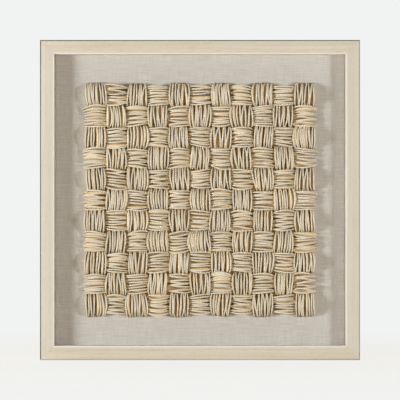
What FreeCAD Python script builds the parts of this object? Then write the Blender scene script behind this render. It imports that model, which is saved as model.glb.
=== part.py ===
import FreeCAD, Part
import os
from FreeCAD import Vector

# Framed paper relief: folded paper discs stand on edge in a chequerboard of
# bundles on stretched linen, inside a glazed box frame of pale wood.
# Millimetres. +X is to the right, +Y points to the wall behind, +Z is up.
# The origin is the middle of the footprint of the standing frame.

# Folded paper discs and their bundles
DISC_DIAMETER = 48.8          # one paper disc before it is folded in half
SHEET_THICKNESS = 2.2         # felted handmade paper, at the rim
FOLD_DEPTH = 2.4              # paper pressed together above the crease
BUNDLE_PITCH = 39.4           # bundles stand closer than a disc is wide, and interlock
NEIGHBOUR_CLEARANCE = 1.1     # on the linen, from the ends of a disc to the next bundle
BUNDLES_PER_SIDE = 11
FULL_BUNDLE_COUNT = 5         # discs in a full bundle
LOOSE_BUNDLE_COUNT = 4        # discs in a loose bundle
RIM_FLAT = 0.58               # share of the radius that the top cut of the rim spans
RIM_RISE = 0.98               # height of that cut as a share of the radius

# Linen-covered mount and its side walls
LINEN_MARGIN = 56.8           # bare linen between the paper field and the sight edge
LINEN_THICKNESS = 0.8
MOUNT_BOARD_THICKNESS = 3.0
GLASS_TO_PAPER = 5.0          # air between the paper rims and the glass
SIGHT_SETBACK = 0.5           # linen walls stand back from the sight edge

# Wooden rails, mitred at the corners
RAIL_FACE = 26.5              # width of the front face
LIP_THICKNESS = 5.0
LIP_OVERLAP = 6.0             # how far the lip covers the glass
OUTER_EASING = 1.2            # bevel of the outer front edge
SIGHT_EASING = 2.0            # bevel of the sight edge

# Glazing and back
GLASS_THICKNESS = 2.0
STACK_CLEARANCE = 0.5         # play between the rabbet and all that lies in it
BACK_PANEL_THICKNESS = 3.0
BACK_RECESS = 2.2             # the back panel lies this far inside the rails

# Glazier points that hold the back panel in
POINT_LENGTH = 18.0
POINT_WIDTH = 6.0
POINT_THICKNESS = 0.8
POINT_GRIP = 7.0              # length driven into the wood
POINTS_PER_RAIL = 3
POINT_SPACING = 190.0

# V-nails that pull the mitres together, one at each corner
V_NAIL_LEG = 6.0
V_NAIL_THICKNESS = 0.8
V_NAIL_LENGTH = 10.0
V_NAIL_INSET = 8.0            # from the outer edges of the frame

# Press-in sawtooth hangers
HANGER_SPAN = 44.0            # between the outer faces of the two prongs
HANGER_HEIGHT = 9.0
HANGER_THICKNESS = 1.0
HANGER_TAB = 7.0              # flat end that lies on the wood
HANGER_STANDOFF = 1.6         # room for a nail head behind the toothed bar
HANGER_PRONG = 6.0            # driven into the wood
HANGER_TOOTH_COUNT = 7
TOOTH_DEPTH = 1.8
HANGER_SPACING = 400.0        # from the middle of one hanger to the other
HANGER_DROP = 4.0             # below the outer edge of the top rail

# Felt bumpers that keep the frame off the wall
BUMPER_SIZE = 12.0
BUMPER_THICKNESS = 3.0
BUMPER_INSET = 4.0            # from the outer edges of the frame

# Sizes that follow
disc_radius = DISC_DIAMETER / 2
paper_height = RIM_RISE * disc_radius
outermost_crease = BUNDLE_PITCH - disc_radius - NEIGHBOUR_CLEARANCE
field_size = BUNDLES_PER_SIDE * BUNDLE_PITCH
sight_size = field_size + 2 * LINEN_MARGIN
frame_size = sight_size + 2 * RAIL_FACE
rabbet_wall = RAIL_FACE - LIP_OVERLAP
stack_size = sight_size + 2 * (LIP_OVERLAP - STACK_CLEARANCE)
spacer_thickness = LIP_OVERLAP - STACK_CLEARANCE - SIGHT_SETBACK - LINEN_THICKNESS
spacer_depth = paper_height + GLASS_TO_PAPER
frame_depth = (LIP_THICKNESS + GLASS_THICKNESS + spacer_depth + LINEN_THICKNESS
               + MOUNT_BOARD_THICKNESS + BACK_PANEL_THICKNESS + BACK_RECESS)

# Depths, from the front of the frame to the wall
front = -(frame_depth + BUMPER_THICKNESS) / 2
glass_front = front + LIP_THICKNESS
glass_back = glass_front + GLASS_THICKNESS
linen_front = glass_back + spacer_depth
board_front = linen_front + LINEN_THICKNESS
panel_front = board_front + MOUNT_BOARD_THICKNESS
panel_back = panel_front + BACK_PANEL_THICKNESS
back = front + frame_depth
mid_height = frame_size / 2


def block(width, depth, height, middle_x, low_y, middle_z):
    """A rectangular board, placed by the middle of its front face."""
    corner = Vector(middle_x - width / 2, low_y, middle_z - height / 2)
    return Part.makeBox(width, depth, height, corner)


def prism(points, direction):
    """A straight-sided solid on a closed outline."""
    outline = Part.makePolygon([*points, points[0]])
    return Part.Face(outline).extrude(direction)


def turned(shape, quarter_turns):
    """A copy turned about the middle of the picture, seen from the front."""
    copy = shape.copy()
    copy.rotate(Vector(0, 0, mid_height), Vector(0, 1, 0), 90 * quarter_turns)
    return copy


def rail_profile():
    """Section of the top rail at the left end, its outer edge uppermost."""
    left = -frame_size / 2
    top = frame_size

    def at(down, depth):
        return Vector(left, front + depth, top - down)

    return [
        at(0, OUTER_EASING), at(0, frame_depth), at(rabbet_wall, frame_depth),
        at(rabbet_wall, LIP_THICKNESS), at(RAIL_FACE, LIP_THICKNESS), at(RAIL_FACE, SIGHT_EASING),
        at(RAIL_FACE - SIGHT_EASING, 0), at(OUTER_EASING, 0),
    ]


def mitred_rail():
    """The top rail, cut at 45 degrees at both ends."""
    rail = prism(rail_profile(), Vector(frame_size, 0, 0))
    half = frame_size / 2
    quarter = prism(
        [Vector(-half, front, frame_size), Vector(half, front, frame_size), Vector(0, front, mid_height)],
        Vector(0, frame_depth, 0),
    )
    return rail.common(quarter)


def point_places():
    """Middles of the glazier points along one rail."""
    first = -(POINTS_PER_RAIL - 1) / 2 * POINT_SPACING
    return [first + i * POINT_SPACING for i in range(POINTS_PER_RAIL)]


def glazier_points():
    """The points of the top rail, flat on the back panel and driven into the wood."""
    low = frame_size - rabbet_wall + POINT_GRIP - POINT_LENGTH
    return [
        block(POINT_WIDTH, POINT_THICKNESS, POINT_LENGTH, x, panel_back, low + POINT_LENGTH / 2)
        for x in point_places()
    ]


def v_nail():
    """The nail of the upper left corner, one leg in the top rail and one in the left rail."""
    leg = V_NAIL_LEG
    metal = V_NAIL_THICKNESS
    outline = [(0, 0), (leg, 0), (leg, metal), (metal, metal), (metal, leg), (0, leg)]
    left = V_NAIL_INSET - frame_size / 2
    top = frame_size - V_NAIL_INSET
    points = [Vector(left + across, back - V_NAIL_LENGTH, top - down) for across, down in outline]
    return prism(points, Vector(0, V_NAIL_LENGTH, 0))


def hanger_band(middle_x):
    """The bent steel band of a hanger: prong, tab, raised bar, tab, prong."""
    half = HANGER_SPAN / 2
    metal = HANGER_THICKNESS
    rise = HANGER_STANDOFF
    outer = [
        (-half, -HANGER_PRONG), (-half, metal), (-half + HANGER_TAB, metal),
        (-half + HANGER_TAB + rise, rise + metal), (half - HANGER_TAB - rise, rise + metal),
        (half - HANGER_TAB, metal), (half, metal), (half, -HANGER_PRONG),
    ]
    inner = [
        (half - metal, -HANGER_PRONG), (half - metal, 0), (half - HANGER_TAB, 0),
        (half - HANGER_TAB - rise, rise), (-half + HANGER_TAB + rise, rise),
        (-half + HANGER_TAB, 0), (-half + metal, 0), (-half + metal, -HANGER_PRONG),
    ]
    low = frame_size - HANGER_DROP - HANGER_HEIGHT
    points = [Vector(middle_x + x, back + y, low) for x, y in outer + inner]
    return prism(points, Vector(0, 0, HANGER_HEIGHT))


def tooth_cuts(middle_x):
    """Notches along the lower edge of the raised bar, where the wall nail sits."""
    bar = HANGER_SPAN - 2 * (HANGER_TAB + HANGER_STANDOFF)
    pitch = bar / HANGER_TOOTH_COUNT
    low = frame_size - HANGER_DROP - HANGER_HEIGHT
    cuts = []
    for i in range(HANGER_TOOTH_COUNT):
        x = middle_x - bar / 2 + (i + 0.5) * pitch
        notch = [Vector(x - pitch / 2, back, low), Vector(x, back, low + TOOTH_DEPTH),
                 Vector(x + pitch / 2, back, low)]
        cuts.append(prism(notch, Vector(0, HANGER_STANDOFF + HANGER_THICKNESS, 0)))
    return cuts


def sawtooth_hanger(middle_x):
    return hanger_band(middle_x).cut(tooth_cuts(middle_x))


def rails():
    """Four mitred rails, slotted for the points, the V-nails and the hanger prongs."""
    plain = mitred_rail().cut([*glazier_points(), v_nail(), turned(v_nail(), 1)])
    hangers = [hanger_band(side * HANGER_SPACING / 2) for side in (-1, 1)]
    return {
        "rail_top": plain.cut(hangers),
        "rail_right": turned(plain, 1),
        "rail_bottom": turned(plain, 2),
        "rail_left": turned(plain, 3),
    }


def wall_boards(thickness, outside, full_length):
    """Four strips round the inside of a square. Top and bottom run through, or fit between."""
    runs_through = full_length
    between = outside - 2 * thickness
    shift = (outside - thickness) / 2
    y = glass_back
    return {
        "top": block(runs_through, spacer_depth, thickness, 0, y, mid_height + shift),
        "bottom": block(runs_through, spacer_depth, thickness, 0, y, mid_height - shift),
        "left": block(thickness, spacer_depth, between, -shift, y, mid_height),
        "right": block(thickness, spacer_depth, between, shift, y, mid_height),
    }


def spacers_and_linen_walls():
    """Board strips that hold the glass off the mount, and the linen on their faces."""
    pieces = {}
    boards = wall_boards(spacer_thickness, stack_size, stack_size)
    inside = stack_size - 2 * spacer_thickness
    facings = wall_boards(LINEN_THICKNESS, inside, inside)
    for side, board in boards.items():
        pieces["spacer_" + side] = board
        pieces["linen_wall_" + side] = facings[side]
    return pieces


def folded_disc(crease, mouth, spread):
    """A disc folded in half. The crease lies on the linen, the two halves open to the front.
    It runs along X. Three straight cuts of the area of the half disc make the round rim."""
    outer = (spread + SHEET_THICKNESS) / 2
    inner = (spread - SHEET_THICKNESS) / 2
    section = [(crease, 0), (mouth + outer, paper_height), (mouth + inner, paper_height),
               (crease, FOLD_DEPTH), (mouth - inner, paper_height), (mouth - outer, paper_height)]
    folded = prism([Vector(-disc_radius, linen_front - out, side) for side, out in section],
                   Vector(DISC_DIAMETER, 0, 0))
    flat = RIM_FLAT * disc_radius
    rim = [(-disc_radius, 0), (disc_radius, 0), (flat, paper_height), (-flat, paper_height)]
    outline = prism([Vector(along, linen_front - out, -BUNDLE_PITCH) for along, out in rim],
                    Vector(0, 0, 2 * BUNDLE_PITCH))
    return folded.common(outline)


def paper_bundle(discs_in_bundle, upright):
    """Folded discs side by side that fan out to the front, creases level, or upright."""
    crease_step = 2 * outermost_crease / (discs_in_bundle - 1)
    mouth_step = BUNDLE_PITCH / discs_in_bundle
    discs = []
    for i in range(discs_in_bundle):
        place = i - (discs_in_bundle - 1) / 2
        disc = folded_disc(place * crease_step, place * mouth_step, mouth_step / 2)
        if upright:
            disc.rotate(Vector(0, 0, 0), Vector(0, 1, 0), 90)
        discs.append(disc)
    return discs


def is_upright(row, column):
    return (row + column) % 2 == 0


def discs_at(row, column):
    """Every third bundle along a row or a column is a full one."""
    full = (row + column) % 3 == 0
    return FULL_BUNDLE_COUNT if full else LOOSE_BUNDLE_COUNT


def paper_rows():
    """The bundles of each row, the first row at the top."""
    bundles = {
        (discs, upright): paper_bundle(discs, upright)
        for discs in (FULL_BUNDLE_COUNT, LOOSE_BUNDLE_COUNT)
        for upright in (False, True)
    }
    middle = (BUNDLES_PER_SIDE - 1) / 2
    pieces = {}
    for row in range(BUNDLES_PER_SIDE):
        solids = []
        for column in range(BUNDLES_PER_SIDE):
            place = Vector((column - middle) * BUNDLE_PITCH, 0, mid_height + (middle - row) * BUNDLE_PITCH)
            for disc in bundles[discs_at(row, column), is_upright(row, column)]:
                copy = disc.copy()
                copy.translate(place)
                solids.append(copy)
        pieces[f"paper_row_{row + 1:02d}"] = Part.makeCompound(solids)
    return pieces


def bumpers():
    """Felt pads at the corners of the back."""
    reach = frame_size / 2 - BUMPER_INSET - BUMPER_SIZE / 2
    return {
        f"felt_bumper_{level}_{side}": block(BUMPER_SIZE, BUMPER_THICKNESS, BUMPER_SIZE,
                                             x * reach, back, mid_height + z * reach)
        for level, z in (("upper", 1), ("lower", -1))
        for side, x in (("left", -1), ("right", 1))
    }


def framed_paper_relief():
    pieces = rails()
    pieces["glass_pane"] = block(stack_size, GLASS_THICKNESS, stack_size, 0, glass_front, mid_height)
    pieces.update(spacers_and_linen_walls())
    pieces["linen_backdrop"] = block(stack_size, LINEN_THICKNESS, stack_size, 0, linen_front, mid_height)
    pieces["mount_board"] = block(stack_size, MOUNT_BOARD_THICKNESS, stack_size, 0, board_front, mid_height)
    pieces["back_panel"] = block(stack_size, BACK_PANEL_THICKNESS, stack_size, 0, panel_front, mid_height)
    points = [turned(point, turns) for turns in range(4) for point in glazier_points()]
    pieces["glazier_points"] = Part.makeCompound(points)
    pieces["v_nails"] = Part.makeCompound([turned(v_nail(), turns) for turns in range(4)])
    pieces["sawtooth_hanger_left"] = sawtooth_hanger(-HANGER_SPACING / 2)
    pieces["sawtooth_hanger_right"] = sawtooth_hanger(HANGER_SPACING / 2)
    pieces.update(bumpers())
    pieces.update(paper_rows())
    return pieces


os.makedirs("parts", exist_ok=True)
for name, shape in framed_paper_relief().items():
    shape.exportStep(f"parts/{name}.step")
print(f"frame {frame_size:.1f} mm square and {frame_depth:.1f} mm deep, bundle pitch {BUNDLE_PITCH:.1f} mm")
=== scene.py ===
# %% [markdown]
# A framed paper relief.
# Behind the glass of a pale box frame, 121 small bundles of folded paper discs stand on
# linen, eleven by eleven. In one bundle the folds stand upright, in the next they lie
# level, like the squares of a chequerboard.
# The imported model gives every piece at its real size. This script gives each piece the
# surface that the eye meets, and keeps to the places of that model.

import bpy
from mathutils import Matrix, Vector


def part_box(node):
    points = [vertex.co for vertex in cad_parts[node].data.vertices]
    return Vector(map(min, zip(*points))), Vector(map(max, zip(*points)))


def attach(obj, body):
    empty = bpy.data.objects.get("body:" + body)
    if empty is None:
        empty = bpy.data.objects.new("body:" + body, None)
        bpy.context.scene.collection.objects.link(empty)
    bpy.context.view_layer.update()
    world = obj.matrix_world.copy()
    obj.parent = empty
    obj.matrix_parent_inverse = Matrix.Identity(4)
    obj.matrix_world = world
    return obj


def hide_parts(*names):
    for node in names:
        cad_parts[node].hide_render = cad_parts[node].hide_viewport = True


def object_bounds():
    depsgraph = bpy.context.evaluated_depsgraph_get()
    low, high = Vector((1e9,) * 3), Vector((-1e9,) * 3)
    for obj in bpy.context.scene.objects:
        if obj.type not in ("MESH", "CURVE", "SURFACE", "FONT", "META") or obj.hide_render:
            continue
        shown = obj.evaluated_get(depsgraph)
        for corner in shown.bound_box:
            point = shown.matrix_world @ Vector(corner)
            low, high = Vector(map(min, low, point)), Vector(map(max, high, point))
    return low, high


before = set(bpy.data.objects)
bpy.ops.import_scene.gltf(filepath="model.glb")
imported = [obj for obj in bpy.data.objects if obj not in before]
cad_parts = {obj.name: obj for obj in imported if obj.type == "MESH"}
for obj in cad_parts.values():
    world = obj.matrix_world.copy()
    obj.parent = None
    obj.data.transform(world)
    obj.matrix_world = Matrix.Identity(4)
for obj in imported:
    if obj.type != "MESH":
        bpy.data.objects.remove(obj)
cad_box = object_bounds()
print("nodes:", len(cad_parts), "box:", [[round(c, 4) for c in corner] for corner in cad_box])

# %% [markdown]
# Four small tools do most of the work below. One turns a colour written as sRGB hex into
# the linear values that a renderer reckons with. One adds a node to a tree, sets it, and
# links it, so that a long sum stays readable line by line. One starts a material. One puts
# a mesh in the scene, rides it on the one rigid body of the frame, and hides the plain
# solid that it stands for.

# %% Shared tools
import math
import random

import bpy
import bmesh
from mathutils import Vector

MM = 0.001


def srgb(code):
    """An sRGB colour in hex, as linear red, green, blue and a full alpha."""
    parts = [int(code[i:i + 2], 16) / 255 for i in (0, 2, 4)]
    return (*(c / 12.92 if c <= 0.04045 else ((c + 0.055) / 1.055) ** 2.4 for c in parts), 1.0)


def add(tree, kind, *values, inputs=None, **settings):
    """Add a node. Values fill its inputs in order, and inputs fills them by name.
    A kind in capitals, such as MULTIPLY, is a sum in a Math node. A node that is given
    as a value stands for its first output in use."""
    if kind.isupper():
        settings["operation"] = kind
        kind = "ShaderNodeMath"
    node = tree.nodes.new(kind)
    for name, value in settings.items():
        setattr(node, name, value)
    for key, value in [*enumerate(values), *(inputs or {}).items()]:
        if isinstance(value, bpy.types.Node):
            value = next(output for output in value.outputs if output.enabled)
        if isinstance(value, bpy.types.NodeSocket):
            tree.links.new(value, node.inputs[key])
        elif value is not None:
            node.inputs[key].default_value = value
    return node


def new_material(name):
    """A material with an empty tree, and that tree."""
    material = bpy.data.materials.new(name)
    material.use_nodes = True
    material.node_tree.nodes.clear()
    return material, material.node_tree


def place(name, mesh, slot, *nodes):
    """Put a mesh in the scene as a finished piece that stands for CAD nodes."""
    piece = bpy.data.objects.new(name, mesh)
    bpy.context.collection.objects.link(piece)
    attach(piece, "root")
    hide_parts(*nodes)
    return piece


# %% [markdown]
# The camera comes first, because everything else is judged through it. The picture was
# taken straight on, from far away: the walls of the box hardly show round the opening.
# A long lens at five metres gives the same thin lines. The frame fills 320 of the
# 400 pixels across.

# %% Camera
CAMERA_DISTANCE = 5.0          # metres from the front of the frame
SENSOR = 36.0
PICTURE_SHARE = 320 / 400      # how much of the picture the frame is wide

low, high = cad_box
frame_width = high.x - low.x
middle = (low + high) / 2
lens = SENSOR * CAMERA_DISTANCE * PICTURE_SHARE / frame_width
camera = bpy.data.objects.new("camera", bpy.data.cameras.new("camera"))
camera.data.sensor_width = SENSOR
camera.data.lens = lens
camera.location = (middle.x, low.y - CAMERA_DISTANCE, middle.z)
camera.rotation_euler = (math.radians(90), 0, 0)
bpy.context.collection.objects.link(camera)
bpy.context.scene.camera = camera
print(f"lens {lens:.1f} mm")

# %% [markdown]
# Two soft boxes light the frame, one from each side, as in a shop picture of flat work.
# They stand 41 and 52 degrees off the axis, so that each lip of the frame throws a shadow
# on the linen: a broad, deep one on the left, a narrower, paler one on the right. The left
# one is wider, so its shadows have a softer edge. They stand four metres away, so that the
# near rail is hardly brighter than the far one. The lamps are a trace cooler than the light
# of the room, so shadows look warmer than lit cloth. A lamp's share of the light says how
# bright it makes a white surface that faces the camera. With the room, the shares come to
# about one.

# %% Lamps
LAMP_DISTANCE = 4.0
LAMP_HEIGHT = 0.58
LAMP_COLOUR = "EFF6FF"
LAMPS = {"left": (-51.5, 0.60, 1.10), "right": (41.0, 0.38, 0.73)}   # degrees, share, width


def soft_box(name, angle, share, width):
    """A rectangular lamp, turned to the frame. Its power follows from its share of the light."""
    turn = math.radians(angle)
    light = bpy.data.lights.new(name, "AREA")
    light.shape = "RECTANGLE"
    light.size = width
    light.size_y = LAMP_HEIGHT
    light.color = srgb(LAMP_COLOUR)[:3]
    light.energy = share * math.pi ** 2 * LAMP_DISTANCE ** 2 / math.cos(turn)
    lamp = bpy.data.objects.new(name, light)
    offset = Vector((math.sin(turn), -math.cos(turn), 0)) * LAMP_DISTANCE
    lamp.location = middle + offset
    lamp.rotation_euler = (middle - lamp.location).to_track_quat("-Z", "Y").to_euler()
    bpy.context.collection.objects.link(lamp)
    print(f"{name}: {light.energy:.1f} W")


for side, (angle, share, width) in LAMPS.items():
    soft_box(f"soft_box_{side}", angle, share, width)

# %% [markdown]
# The room itself gives the rest of the light. It is brighter behind the frame than in
# front, so that the back shows well from behind and the front keeps its shadows. A little
# more comes from the ceiling. The camera, mirrors and glass see the pale grey of the
# background in its place.

# %% World
BACKGROUND = "F1F3F2"
ROOM_COLOUR = "FFE5C0"
ROOM_LIGHT_FRONT = 0.11
ROOM_LIGHT_BACK = 0.90
ROOM_LIGHT_ABOVE = 0.15
FRONT_ENDS, BACK_BEGINS = -0.3, 0.6      # as the share of a direction that points backwards
CEILING_BEGINS, CEILING_FULL = 0.1, 0.9  # as the share of a direction that points upwards

world = bpy.data.worlds.new("studio")
world.use_nodes = True
bpy.context.scene.world = world
sky = world.node_tree
sky.nodes.clear()
direction = add(sky, "ShaderNodeSeparateXYZ", add(sky, "ShaderNodeTexCoord").outputs["Generated"])
room = add(sky, "ShaderNodeMapRange", direction.outputs["Y"], FRONT_ENDS, BACK_BEGINS,
           ROOM_LIGHT_FRONT, ROOM_LIGHT_BACK, interpolation_type="SMOOTHSTEP")
ceiling = add(sky, "ShaderNodeMapRange", direction.outputs["Z"], CEILING_BEGINS, CEILING_FULL,
              0.0, ROOM_LIGHT_ABOVE)
room = add(sky, "ADD", room, ceiling)
path = add(sky, "ShaderNodeLightPath")
seen = add(sky, "MAXIMUM", path.outputs["Is Camera Ray"], path.outputs["Is Glossy Ray"])
seen = add(sky, "MAXIMUM", seen, path.outputs["Is Transmission Ray"])
lit = add(sky, "ShaderNodeBackground", srgb(ROOM_COLOUR), room)
plain = add(sky, "ShaderNodeBackground", srgb(BACKGROUND), 1.0)
add(sky, "ShaderNodeOutputWorld", add(sky, "ShaderNodeMixShader", seen, lit, plain))

# %% [markdown]
# The frame stands on a pale table. To the camera, it has the colour of the background, so
# that no horizon shows, with a little true shading mixed in that keeps the shadow under
# the frame. Further out the shading fades away. The top glows faintly from below, close to
# the frame, so the lower side of each rail and the upper wall of the box are not dark.

# %% Floor
FLOOR_SIZE = 12.0
FLOOR_SHADING = 0.35           # how much of what the camera sees of the floor is real light
FLOOR_PAINT = "E6E7E5"
FLOOR_BOUNCE = "B9B7B1"        # darker for the light it throws up, or the upper linen is too pale
FLOOR_LIFT_COLOUR = "ECF3F7"   # a trace blue, against the warm light of the room
FLOOR_LIFT = 0.47              # makes up for the slanting light, so that it is as pale as the wall
TABLE_GLOW_NEAR = 0.12
TABLE_GLOW_FAR = 0.08
NEAR, FAR = 0.3, 0.9           # metres from the middle of the floor
SHADING_FULL, SHADING_ENDS = 0.35, 1.3

bpy.context.scene.view_settings.view_transform = "Standard"
floor_mesh = bpy.data.meshes.new("floor")
half = FLOOR_SIZE / 2
corners = [(-half, -half, 0), (half, -half, 0), (half, half, 0), (-half, half, 0)]
floor_mesh.from_pydata(corners, [], [(0, 1, 2, 3)])
floor = bpy.data.objects.new("floor", floor_mesh)
bpy.context.collection.objects.link(floor)

floor_paint, tree = new_material("studio floor paint")
spot = add(tree, "ShaderNodeTexCoord").outputs["Object"]
far = add(tree, "ShaderNodeVectorMath", spot, operation="LENGTH").outputs["Value"]
fade = add(tree, "ShaderNodeMapRange", far, SHADING_FULL, SHADING_ENDS, FLOOR_SHADING, 0.0,
           interpolation_type="SMOOTHSTEP")
shaded = add(tree, "ShaderNodeBsdfDiffuse", srgb(FLOOR_PAINT))
glow = add(tree, "ShaderNodeEmission", srgb(BACKGROUND), 1.0)
lift = add(tree, "ShaderNodeEmission", srgb(FLOOR_LIFT_COLOUR), FLOOR_LIFT)
lifted = add(tree, "ShaderNodeAddShader", shaded, lift)
for_camera = add(tree, "ShaderNodeMixShader", fade, glow, lifted)
table_glow = add(tree, "ShaderNodeMapRange", far, NEAR, FAR, TABLE_GLOW_NEAR, TABLE_GLOW_FAR)
from_below = add(tree, "ShaderNodeEmission", srgb(ROOM_COLOUR), table_glow)
bounced = add(tree, "ShaderNodeBsdfDiffuse", srgb(FLOOR_BOUNCE))
for_object = add(tree, "ShaderNodeAddShader", bounced, from_below)
path = add(tree, "ShaderNodeLightPath")
add(tree, "ShaderNodeOutputMaterial",
    add(tree, "ShaderNodeMixShader", path.outputs["Is Camera Ray"], for_object, for_camera))
floor_mesh.materials.append(floor_paint)

# %% [markdown]
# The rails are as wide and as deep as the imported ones, and their lip lies on the glass.

# %% Sizes of the rails
GLASS_PLAY = 0.5 * MM          # between the edge of the glass and the wall of the rabbet

rail_low, rail_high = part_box("rail_top")
glass_low, glass_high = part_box("glass_pane")
rail_face = rail_high.z - rail_low.z
rail_depth = rail_high.y - rail_low.y
lip = glass_low.y - rail_low.y
rabbet = rail_high.z - glass_high.z - GLASS_PLAY
half_frame = frame_width / 2
print(f"rail face {rail_face / MM:.1f} mm, depth {rail_depth / MM:.1f} mm")

# %% [markdown]
# Whitewashed ash. The rails are planed ash rubbed with white liming wax: a pale, warm wood
# with straight fine grain along each rail, and slightly darker pores. Each rail carries its
# own grain coordinates, in metres along, across and into the wood, so one material turns
# with every rail, and the grain stops at the mitre as it does on real wood. Two more
# numbers tell the boards apart: how much wax a board has kept, and how dark its outer arris
# is painted, as painted shade that is strongest on the left and top rails. The rounded sight
# edge is drawn paler, as a painted highlight.

# %% Ash material
ASH_PALE = "D1C5B0"
ASH_DARK = "BEAE94"
ASH_PORE = "9D8B74"
ASH_ARRIS_SHADE = "3B3328"           # painted shade on the rounded outer arris
ASH_SIGHT_HIGHLIGHT = "E2DBCE"             # painted highlight on the rounded sight edge
ASH_COOL = "CFC8BE"            # a board that has kept more of its wax
GROWTH_RING = 4.5 * MM
GRAIN_LENGTH = 260 * MM
PORE_WIDTH = 1.3 * MM          # coarser than real pores, so that they show at this distance
PORE_LENGTH = 16 * MM
ARRIS_SHADE_FULL, ARRIS_SHADE_ENDS = 1.3 * MM, 2.4 * MM   # painted shade, full and ending, measured from the outer arris
SIGHT_HIGHLIGHT_BEGINS, SIGHT_HIGHLIGHT_FULL = 3.6 * MM, 1.6 * MM   # painted highlight, beginning and full, from the sight edge
SIGHT_HIGHLIGHT_SHARE = 0.75

ash, tree = new_material("whitewashed ash")
wood_at = add(tree, "ShaderNodeAttribute", attribute_name="grain").outputs["Vector"]
board = add(tree, "ShaderNodeAttribute", attribute_name="board").outputs["Fac"]
grain = add(tree, "ShaderNodeVectorMath", wood_at, board, operation="ADD")
rings_at = add(tree, "ShaderNodeVectorMath", grain, (1 / GRAIN_LENGTH, 1 / GROWTH_RING, 1 / GROWTH_RING),
               operation="MULTIPLY")
rings = add(tree, "ShaderNodeTexNoise", inputs={"Vector": rings_at, "Scale": 1.0, "Detail": 5.0,
                                                "Roughness": 0.62})
pores_at = add(tree, "ShaderNodeVectorMath", grain, (1 / PORE_LENGTH, 1 / PORE_WIDTH, 1 / PORE_WIDTH),
               operation="MULTIPLY")
pores = add(tree, "ShaderNodeTexNoise", inputs={"Vector": pores_at, "Scale": 1.0, "Detail": 2.0})
pore_mask = add(tree, "ShaderNodeMapRange", pores, 0.58, 0.74, 0.0, 0.55)
cloud = add(tree, "ShaderNodeTexNoise", inputs={"Vector": grain, "Scale": 9.0, "Detail": 2.0})
ring_tone = add(tree, "ShaderNodeMapRange", rings, 0.30, 0.72, 0.0, 1.0)
wood = add(tree, "ShaderNodeMix", ring_tone, inputs={6: srgb(ASH_PALE), 7: srgb(ASH_DARK)}, data_type="RGBA")
veil = add(tree, "ShaderNodeMapRange", cloud, 0.35, 0.75, 0.0, 0.45)
limed = add(tree, "ShaderNodeAttribute", attribute_name="limed").outputs["Fac"]
for_arris = add(tree, "ShaderNodeVectorMath", wood_at, (0.0, 1.0, 1.0), operation="MULTIPLY")
from_arris = add(tree, "ShaderNodeVectorMath", for_arris, operation="LENGTH").outputs["Value"]
# Painted shade on the rounded outer arris, as strong as each board's number says.
arris_shade = add(tree, "ShaderNodeMapRange", from_arris, ARRIS_SHADE_FULL, ARRIS_SHADE_ENDS, 1.0, 0.0)
arris_shading = add(tree, "ShaderNodeAttribute", attribute_name="arris_shading").outputs["Fac"]
arris_shade = add(tree, "MULTIPLY", arris_shade, arris_shading)
# Painted highlight: the rounded sight edge is drawn paler.
from_outside = add(tree, "ShaderNodeSeparateXYZ", wood_at).outputs["Y"]
sight_highlight = add(tree, "ShaderNodeMapRange", from_outside, rail_face - SIGHT_HIGHLIGHT_BEGINS, rail_face - SIGHT_HIGHLIGHT_FULL,
            0.0, SIGHT_HIGHLIGHT_SHARE)
for amount, colour in ((pore_mask, ASH_PORE), (veil, ASH_PALE), (limed, ASH_COOL), (arris_shade, ASH_ARRIS_SHADE),
                       (sight_highlight, ASH_SIGHT_HIGHLIGHT)):
    wood = add(tree, "ShaderNodeMix", amount, inputs={6: wood, 7: srgb(colour)}, data_type="RGBA")
gloss = add(tree, "ShaderNodeMapRange", rings, 0.3, 0.7, 0.50, 0.64)
relief = add(tree, "SUBTRACT", rings, pore_mask)
bump = add(tree, "ShaderNodeBump", inputs={"Height": relief, "Strength": 0.35, "Distance": 0.15 * MM})
looks = {"Base Color": wood, "Roughness": gloss, "Normal": bump}
add(tree, "ShaderNodeOutputMaterial", add(tree, "ShaderNodeBsdfPrincipled", inputs=looks))

# %% [markdown]
# The rails. One profile is drawn for the top rail, from the front face round the lip and
# the rabbet to the back, with its outer arris and its sight edge rounded over. It is swept
# between two mitre planes, and the other three rails are quarter turns of it about the
# middle of the picture. Close to each mitre the profile shrinks a little, which leaves the
# fine groove that shows a hand-joined corner.

# %% Rail profile
OUTER_ROUND = 1.3 * MM
SIGHT_ROUND = 1.0 * MM
BACK_ROUND = 0.8 * MM
ROUND_STEPS = 5
MITRE_GROOVE = 0.25 * MM
MITRE_GROOVE_LENGTH = 0.35 * MM
RAIL_STATIONS = 12
SMOOTH_BELOW = 35              # degrees, edges that turn less than this are shaded smooth
BOARD_GAP_IN_NOISE = 1.7       # how far apart the boards lie in the noises, in metres


def quarter_round(centre_down, centre_deep, radius, first_angle):
    """Points of a quarter circle, in steps, from first_angle on."""
    for step in range(ROUND_STEPS + 1):
        turn = math.radians(first_angle + 90 * step / ROUND_STEPS)
        yield centre_down + radius * math.cos(turn), centre_deep + radius * math.sin(turn)


profile = [
    *quarter_round(BACK_ROUND, rail_depth - BACK_ROUND, BACK_ROUND, 90),
    *quarter_round(OUTER_ROUND, OUTER_ROUND, OUTER_ROUND, 180),
    *quarter_round(rail_face - SIGHT_ROUND, SIGHT_ROUND, SIGHT_ROUND, 270),
    (rail_face, lip), (rabbet, lip), (rabbet, rail_depth),
]
core = (rabbet / 2, lip / 2)
print("profile points:", len(profile))

# %% [markdown]
# The sweep puts the profile at a row of stations between the mitres. The first and the
# last two stations lie close together and make the groove.

# %% Sweep the rails
def shrunk(point):
    """A profile point, drawn towards the core of the rail by the depth of the groove."""
    down, deep = point
    gap = math.hypot(core[0] - down, core[1] - deep)
    pull = MITRE_GROOVE / gap
    return down + (core[0] - down) * pull, deep + (core[1] - deep) * pull


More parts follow.
